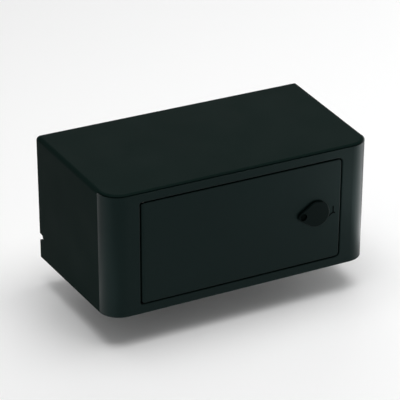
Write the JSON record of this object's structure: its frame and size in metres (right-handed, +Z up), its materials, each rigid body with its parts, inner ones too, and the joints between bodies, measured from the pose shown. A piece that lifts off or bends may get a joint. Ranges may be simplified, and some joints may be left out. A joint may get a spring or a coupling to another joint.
{
  "type": "swing gate opener",
  "caption": "Post-mounted arm-type swing gate opener: black moulded cover with a lockable front door over a worm-and-gear drive with a vertical output shaft.",
  "frame": {"origin": "middle of the four post bolts, on the back face of the base plate", "axes": "+Y out of the back face into the post, +Z up, +X to the right as seen from the front"},
  "size_m": [0.33, 0.1783, 0.184],
  "materials": {
    "cover_plastic": "near-black moulded plastic, satin gloss, with a faint grain",
    "seal_rubber": "matt black rubber",
    "zinc_steel": "zinc-plated steel",
    "bright_metal": "nickel-plated brass",
    "cast_aluminium": "die-cast aluminium, slightly rough",
    "gasket_fibre": "oiled fibre sheet",
    "bearing_bronze": "bronze",
    "hardened_steel": "machined steel",
    "motor_paint": "black painted steel",
    "magnet_ferrite": "dark ferrite",
    "laminated_steel": "stacked steel sheets",
    "copper": "copper",
    "carbon": "graphite",
    "lever_plastic": "red moulded plastic",
    "black_plastic": "black moulded plastic",
    "white_plastic": "off-white moulded plastic",
    "board_laminate": "green lacquered laminate",
    "terminal_plastic": "green moulded plastic",
    "capacitor_sleeve": "dark blue sleeve",
    "fuse_glass": "clear glass with metal ends"
  },
  "bodies": {
    "frame": {"cover_shell": "cover_plastic", "front_fascia": "cover_plastic", "hinge_pins": "zinc_steel", "door_seal": "seal_rubber", "base_plate": "zinc_steel", "gearbox_case": "cast_aluminium", "gearbox_lid": "cast_aluminium", "lid_gasket": "gasket_fibre", "shaft_bushes": "bearing_bronze", "shaft_seal": "seal_rubber", "worm_bearings": "hardened_steel", "motor_flange": "cast_aluminium", "motor_can": "motor_paint", "motor_rear_cap": "cast_aluminium", "motor_magnets": "magnet_ferrite", "carbon_brushes": "carbon", "limit_switches": "black_plastic", "board_tray": "white_plastic", "control_board": "board_laminate", "terminal_blocks": "terminal_plastic", "relays": "black_plastic", "smoothing_capacitor": "capacitor_sleeve", "fuse": "fuse_glass", "fuse_clips": "copper", "transformer_core": "laminated_steel", "transformer_coil": "copper", "transformer_strap": "zinc_steel", "gland_body": "black_plastic", "gland_nut": "black_plastic", "gland_dome": "black_plastic", "cap_screws": "zinc_steel", "frame_screws": "zinc_steel", "small_screws": "zinc_steel", "gearbox_bolts": "zinc_steel"},
    "rotor": {"worm_shaft": "hardened_steel", "armature": "laminated_steel", "commutator": "copper"},
    "first_wheel": {"worm_wheel": "bearing_bronze", "compound_pinion": "hardened_steel"},
    "second_wheel": {"lay_shaft": "hardened_steel", "lay_gear": "hardened_steel"},
    "last_wheel": {"output_gear": "hardened_steel"},
    "drive_shaft": {"output_shaft": "hardened_steel", "sleeve_key": "hardened_steel", "thrust_washer": "hardened_steel", "limit_cams": "white_plastic"},
    "clutch": {"clutch_sleeve": "hardened_steel"},
    "release": {"release_shaft": "hardened_steel", "release_lever": "lever_plastic"},
    "door": {"access_door": "cover_plastic", "lock_barrel": "bright_metal", "lock_nut": "zinc_steel", "lock_cover_rivet": "bright_metal"},
    "keyhole_flap": {"lock_cover": "cover_plastic"},
    "key_plug": {"lock_plug": "bright_metal", "lock_cam": "bright_metal"},
    "open_plunger": {"open_switch_plunger": "white_plastic"},
    "closed_plunger": {"closed_switch_plunger": "white_plastic"},
    "learn_key": {"learn_button": "white_plastic"},
    "test_key": {"test_button": "white_plastic"}
  },
  "joints": [
    {"name": "motor_spin", "type": "hinge", "parent": "frame", "child": "rotor", "pos_m": [0.045, -0.03662, 0.0134], "axis": [1, 0, 0], "range_deg": [0, 56700]},
    {"name": "first_wheel_turn", "type": "hinge", "parent": "frame", "child": "first_wheel", "pos_m": [0.045, -0.085, 0.0134], "axis": [0, 0, 1], "range_deg": [0, 1260]},
    {"name": "second_wheel_turn", "type": "hinge", "parent": "frame", "child": "second_wheel", "pos_m": [-0.012, -0.085, -0.0096], "axis": [0, 0, 1], "range_deg": [-450, 0]},
    {"name": "last_wheel_turn", "type": "hinge", "parent": "frame", "child": "last_wheel", "pos_m": [0.045, -0.085, -0.0542], "axis": [0, 0, 1], "range_deg": [0, 120]},
    {"name": "output_turn", "type": "hinge", "parent": "frame", "child": "drive_shaft", "pos_m": [0.045, -0.085, -0.071], "axis": [0, 0, 1], "range_deg": [0, 120]},
    {"name": "release_turn", "type": "hinge", "parent": "frame", "child": "release", "pos_m": [0.039, -0.1435, -0.0214], "axis": [0, -1, 0], "range_deg": [0, 60]},
    {"name": "clutch_slide", "type": "slide", "parent": "drive_shaft", "child": "clutch", "axis": [0, 0, 1], "range_m": [0, 0.006]},
    {"name": "door_swing", "type": "hinge", "parent": "frame", "child": "door", "pos_m": [-0.1175, -0.171, 0], "axis": [0, 0, -1], "range_deg": [0, 100]},
    {"name": "flap_swing", "type": "hinge", "parent": "door", "child": "keyhole_flap", "pos_m": [0.0737, -0.1753, 0], "axis": [0, -1, 0], "range_deg": [0, 120]},
    {"name": "key_turn", "type": "hinge", "parent": "door", "child": "key_plug", "pos_m": [0.0913, -0.1748, 0], "axis": [0, -1, 0], "range_deg": [0, 90]},
    {"name": "open_plunger_slide", "type": "slide", "parent": "frame", "child": "open_plunger", "axis": [0, -1, 0], "range_m": [0, 0.001], "stiffness_N_per_m": 200, "springref_m": -0.0005},
    {"name": "closed_plunger_slide", "type": "slide", "parent": "frame", "child": "closed_plunger", "axis": [0, -1, 0], "range_m": [0, 0.001], "stiffness_N_per_m": 200, "springref_m": -0.0005},
    {"name": "learn_button_press", "type": "slide", "parent": "frame", "child": "learn_key", "axis": [0, 1, 0], "range_m": [0, 0.0008], "stiffness_N_per_m": 200, "springref_m": -0.0005},
    {"name": "test_button_press", "type": "slide", "parent": "frame", "child": "test_key", "axis": [0, 1, 0], "range_m": [0, 0.0008], "stiffness_N_per_m": 200, "springref_m": -0.0005}
  ],
  "couplings": [
    {"joint": "first_wheel_turn", "follows": "motor_spin", "ratio": 0.022222},
    {"joint": "second_wheel_turn", "follows": "motor_spin", "ratio": -0.0079365},
    {"joint": "last_wheel_turn", "follows": "motor_spin", "ratio": 0.0021164},
    {"joint": "output_turn", "follows": "motor_spin", "ratio": 0.0021164},
    {"joint": "release_turn", "follows": "clutch_slide", "rad_per_m": 174.53}
  ]
}
